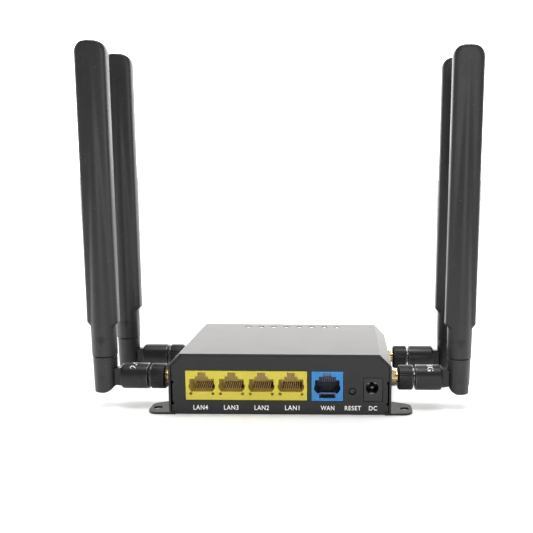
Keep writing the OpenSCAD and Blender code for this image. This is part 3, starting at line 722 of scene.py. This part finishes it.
pin_x = (dc_pin_low.x + dc_pin_high.x) / 2 / MM
pin_z = (dc_pin_low.z + dc_pin_high.z) / 2 / MM
# a hair thinner than the CAD pin
pin_r = (dc_pin_high.x - dc_pin_low.x) / 2 / MM * 0.98
TIP_LENGTH = 0.8
SPRING_OUTER_R = 2.98
SPRING_INNER_R = 2.72
SPRING_MOUTH = 0.9
SPRING_BACK = 6
SPRING_SPANS = ((118, 142), (50, 74), (248, 290))


def in_bore(c, s, y, r):
    """The point at depth y and radius r from the pin's axis."""
    return Vector((pin_x + r * c, y, pin_z + r * s)) * MM


def power_pin():
    tip = dc_pin_low.y / MM
    profile = [(tip + TIP_LENGTH * (1 - math.cos(math.radians(a))), pin_r * math.sin(math.radians(a)))
               for a in range(8, 91, 9)]
    profile.append((dc_pin_high.y / MM, pin_r))
    return loft([[in_bore(c, s, y, r) for c, s in turned(32)] for y, r in profile])


def spring_sheet(start, stop):
    """A strip of the bore's wall between two angles in degrees."""
    mouth, back = face + SPRING_MOUTH, face + SPRING_BACK
    section = ((mouth, SPRING_OUTER_R), (back, SPRING_OUTER_R), (back, SPRING_INNER_R),
               (mouth, SPRING_INNER_R))
    return loft([[in_bore(c, s, y, r) for y, r in section] for c, s in arc(0, 0, 1, start, stop, 10)])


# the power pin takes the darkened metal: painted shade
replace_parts(new_piece("power_pin", power_pin(), nickel_painted_shade, "case"), "dc_center_pin")
springs = [spring_sheet(*span) for span in SPRING_SPANS]
new_piece("power_springs", joined(springs), steel, "case", 30)


# Printed names of the sockets, in millimetres.

NAME_Z = 3.3
LAN_NAME_HEIGHT = 2.3
NAME_HEIGHT = 2.2


def printed_name(name, text, x, width, height=NAME_HEIGHT):
    verts, faces = text_shape(text, width * MM, height * MM, 0.03 * MM)
    on_panel = [Vector((x * MM + v.x, panel_face + 0.004 * MM - v.z, NAME_Z * MM + v.y)) for v in verts]
    new_piece(name, (on_panel, faces), ink, "case", 0)


for i, x in enumerate(lan_x):
    # the names stand a little wider apart than the sockets
    printed_name(f"name_lan_{4 - i}", f"LAN{4 - i}", x - 0.75 + 0.45 * i, 6.9, LAN_NAME_HEIGHT)
printed_name("name_wan", "WAN", wan_x + 0.15, 6.5)
printed_name("name_reset", "RESET", middle("reset_button").x / MM + 0.35, 7.8)
printed_name("name_power", "DC", middle("dc_jack").x / MM + 0.05, 3.95)


# Floor, light and camera.

floor_data = bpy.data.meshes.new("floor")
floor_data.from_pydata([(-6, -4, 0), (6, -4, 0), (6, 9, 0), (-6, 9, 0)], [], [(0, 1, 2, 3)])
floor_data.materials.append(floor_paint)
floor = bpy.data.objects.new("floor", floor_data)
bpy.context.scene.collection.objects.link(floor)
floor.location.z = -0.1 * MM

# how bright the room is in front of the router, behind it, and how much of that is left overhead
ROOM_FRONT = 0.44
ROOM_BEHIND = 4.1
ROOM_OVERHEAD = 0.3

world = bpy.data.worlds.new("studio")
bpy.context.scene.world = world
world.use_nodes = True
tree = world.node_tree
tree.nodes.clear()
sky = tree.nodes.new("ShaderNodeOutputWorld")
room = tree.nodes.new("ShaderNodeBackground")
room.inputs["Color"].default_value = (1.0, 0.985, 0.96, 1)
where = tree.nodes.new("ShaderNodeTexCoord")
axes = tree.nodes.new("ShaderNodeSeparateXYZ")
tree.links.new(where.outputs["Generated"], axes.inputs["Vector"])
behind = mapped(tree, axes.outputs["Y"], 0.0, 0.9, ROOM_FRONT, ROOM_BEHIND, eased=True)
aloft = mapped(tree, axes.outputs["Z"], 0.3, 0.75, 1.0, ROOM_OVERHEAD, eased=True)
dimmed = tree.nodes.new("ShaderNodeMath")
dimmed.operation = "MULTIPLY"
tree.links.new(behind, dimmed.inputs[0])
tree.links.new(aloft, dimmed.inputs[1])
tree.links.new(dimmed.outputs["Value"], room.inputs["Strength"])
tree.links.new(room.outputs["Background"], sky.inputs["Surface"])


def softbox(name, at, towards, size, power):
    data = bpy.data.lights.new(name, "AREA")
    data.shape = "RECTANGLE"
    data.size, data.size_y = size
    data.energy = power
    obj = bpy.data.objects.new(name, data)
    bpy.context.scene.collection.objects.link(obj)
    obj.location = at
    obj.rotation_euler = (Vector(towards) - Vector(at)).to_track_quat("-Z", "Y").to_euler()
    obj.visible_camera = False


softbox("overhead", (0.0, -0.05, 1.2), (0, 0, 0), (0.56, 0.46), 10)
softbox("left_wall", (-1.0, 0.35, 0.35), (0, 0, 0.1), (0.9, 0.9), 12)
softbox("right_wall", (1.1, 0.35, 0.35), (0, 0, 0.1), (0.9, 0.9), 13)
softbox("front_fill", (0.2, -1.1, 0.28), (0, 0, 0.02), (0.5, 0.4), 1.8)

CAMERA_AT = Vector((0.0305, -0.38, 0.1165))
yaw, pitch_down, roll = math.radians(-0.58), math.radians(9.52), math.radians(0.52)
level = Vector((-math.sin(yaw), math.cos(yaw), 0))
across = Vector((math.cos(yaw), math.sin(yaw), 0))
up = Vector((0, 0, 1))
ahead = level * math.cos(pitch_down) - up * math.sin(pitch_down)
upright = up * math.cos(pitch_down) + level * math.sin(pitch_down)
camera_right = across * math.cos(roll) + upright * math.sin(roll)
camera_up = upright * math.cos(roll) - across * math.sin(roll)
camera_data = bpy.data.cameras.new("camera")
camera = bpy.data.objects.new("camera", camera_data)
bpy.context.scene.collection.objects.link(camera)
facing = Matrix((camera_right, camera_up, -ahead)).transposed().to_4x4()
camera.matrix_world = Matrix.Translation(CAMERA_AT) @ facing
camera_data.lens = 50.5
camera_data.sensor_width = 36
camera_data.shift_x = -0.1607
camera_data.shift_y = 0.0535
camera_data.clip_start = 0.01
bpy.context.scene.camera = camera
bpy.context.scene.view_settings.view_transform = "Standard"
